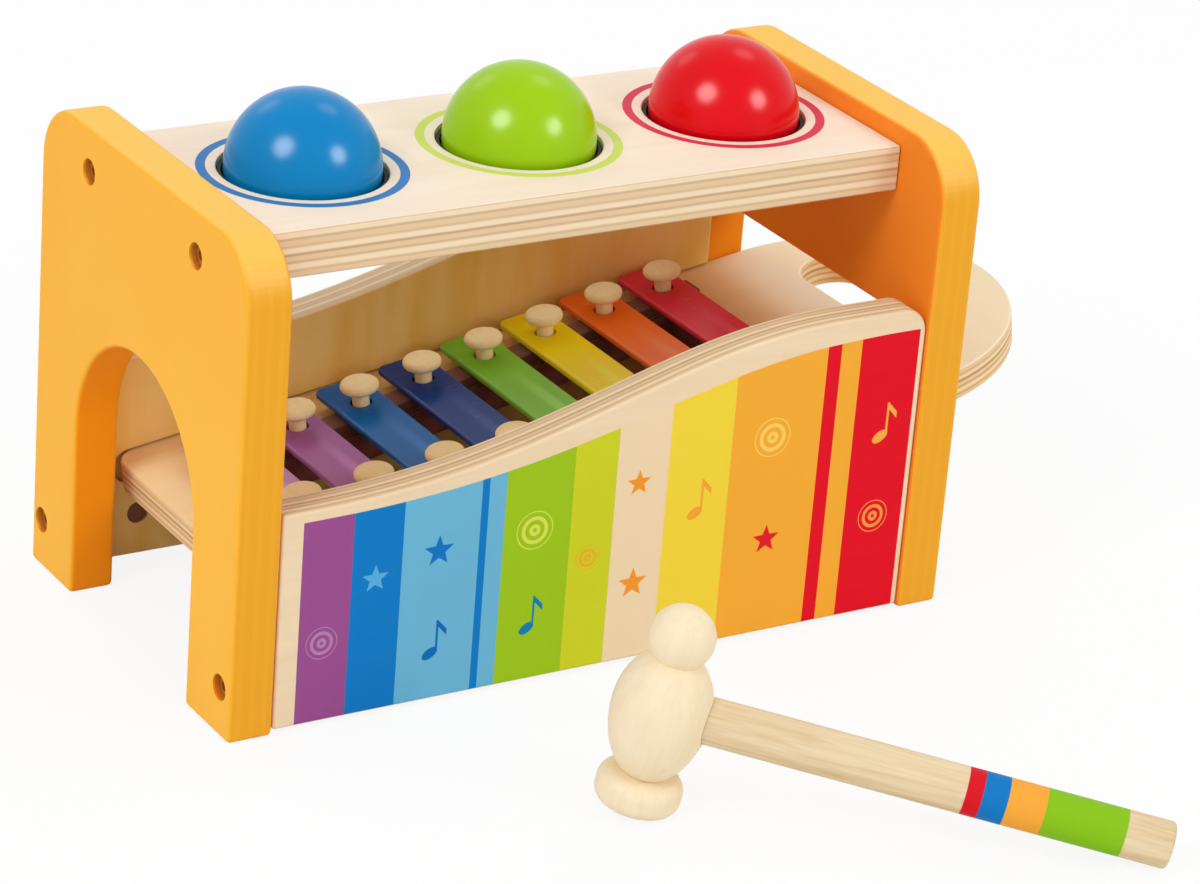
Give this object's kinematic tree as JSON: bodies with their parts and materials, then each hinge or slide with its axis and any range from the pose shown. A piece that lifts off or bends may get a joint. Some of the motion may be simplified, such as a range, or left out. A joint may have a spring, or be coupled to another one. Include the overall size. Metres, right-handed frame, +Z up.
{
  "type": "xylophone pounding bench",
  "caption": "Wooden pounding bench: balls are knocked through a top board on to a sloping xylophone that slides out of the end, with a turned mallet.",
  "frame": {"origin": "middle of the bench and its mallet together, on the floor", "axes": "+X along the bench from the arch end to the xylophone's pull end, +Y towards the back, +Z up"},
  "size_m": [0.2936, 0.2981, 0.1645],
  "materials": {
    "panel_paint": "satin orange-yellow paint on plywood",
    "board_plywood": "clear satin lacquer on birch plywood",
    "printed_plywood": "clear lacquered plywood printed with colour stripes",
    "side_plywood": "clear satin lacquer on birch plywood",
    "tray_plywood": "clear satin lacquer on birch plywood",
    "ring_rubber": "matte black",
    "fastener_steel": "bronze-plated steel",
    "strip_felt": "dense felt",
    "peg_wood": "bare turned wood",
    "mallet_wood": "clear lacquered turned wood",
    "ball_paint_blue": "gloss paint on wood",
    "ball_paint_green": "gloss paint on wood",
    "ball_paint_red": "gloss paint on wood",
    "key_1_paint": "satin enamel on steel",
    "key_2_paint": "satin enamel on steel",
    "key_3_paint": "satin enamel on steel",
    "key_4_paint": "satin enamel on steel",
    "key_5_paint": "satin enamel on steel",
    "key_6_paint": "satin enamel on steel",
    "key_7_paint": "satin enamel on steel",
    "key_8_paint": "satin enamel on steel"
  },
  "bodies": {
    "bench": {"left_end_panel": "panel_paint", "right_end_panel": "panel_paint", "top_board": "board_plywood", "front_panel": "printed_plywood", "back_panel": "side_plywood", "ball_ring_blue": "ring_rubber", "ball_ring_green": "ring_rubber", "ball_ring_red": "ring_rubber", "left_front_panel_screw": "fastener_steel", "left_front_board_screw": "fastener_steel", "left_back_panel_screw": "fastener_steel", "left_back_board_screw": "fastener_steel", "right_front_panel_screw": "fastener_steel", "right_front_board_screw": "fastener_steel", "right_back_panel_screw": "fastener_steel", "right_back_board_screw": "fastener_steel", "left_front_panel_nut": "fastener_steel", "left_front_board_nut": "fastener_steel", "left_back_panel_nut": "fastener_steel", "left_back_board_nut": "fastener_steel", "right_front_panel_nut": "fastener_steel", "right_front_board_nut": "fastener_steel", "right_back_panel_nut": "fastener_steel", "right_back_board_nut": "fastener_steel"},
    "xylophone": {"xylophone_tray": "tray_plywood", "front_key_strip": "strip_felt", "back_key_strip": "strip_felt", "key_1": "key_1_paint", "key_2": "key_2_paint", "key_3": "key_3_paint", "key_4": "key_4_paint", "key_5": "key_5_paint", "key_6": "key_6_paint", "key_7": "key_7_paint", "key_8": "key_8_paint", "front_peg_1": "peg_wood", "back_peg_1": "peg_wood", "front_peg_2": "peg_wood", "back_peg_2": "peg_wood", "front_peg_3": "peg_wood", "back_peg_3": "peg_wood", "front_peg_4": "peg_wood", "back_peg_4": "peg_wood", "front_peg_5": "peg_wood", "back_peg_5": "peg_wood", "front_peg_6": "peg_wood", "back_peg_6": "peg_wood", "front_peg_7": "peg_wood", "back_peg_7": "peg_wood", "front_peg_8": "peg_wood", "back_peg_8": "peg_wood"},
    "blue_ball": {"ball_blue": "ball_paint_blue"},
    "green_ball": {"ball_green": "ball_paint_green"},
    "red_ball": {"ball_red": "ball_paint_red"},
    "mallet": {"mallet_head": "mallet_wood", "mallet_handle": "mallet_wood"}
  },
  "joints": [
    {"name": "xylophone_slide", "type": "slide", "parent": "bench", "child": "xylophone", "axis": [0.9875, 0, 0.1576], "range_m": [0, 0.2225]},
    {"name": "blue_ball_push", "type": "slide", "parent": "bench", "child": "blue_ball", "axis": [0, 0, 1], "range_m": [-0.072, 0.03], "deforming": ["ball_ring_blue"]},
    {"name": "green_ball_push", "type": "slide", "parent": "bench", "child": "green_ball", "axis": [0, 0, 1], "range_m": [-0.0608, 0.03], "deforming": ["ball_ring_green"]},
    {"name": "red_ball_push", "type": "slide", "parent": "bench", "child": "red_ball", "axis": [0, 0, 1], "range_m": [-0.0496, 0.03], "deforming": ["ball_ring_red"]},
    {"name": "mallet_lift", "type": "slide", "parent": "bench", "child": "mallet", "axis": [0, 0, 1], "range_m": [0, 0.15]}
  ]
}
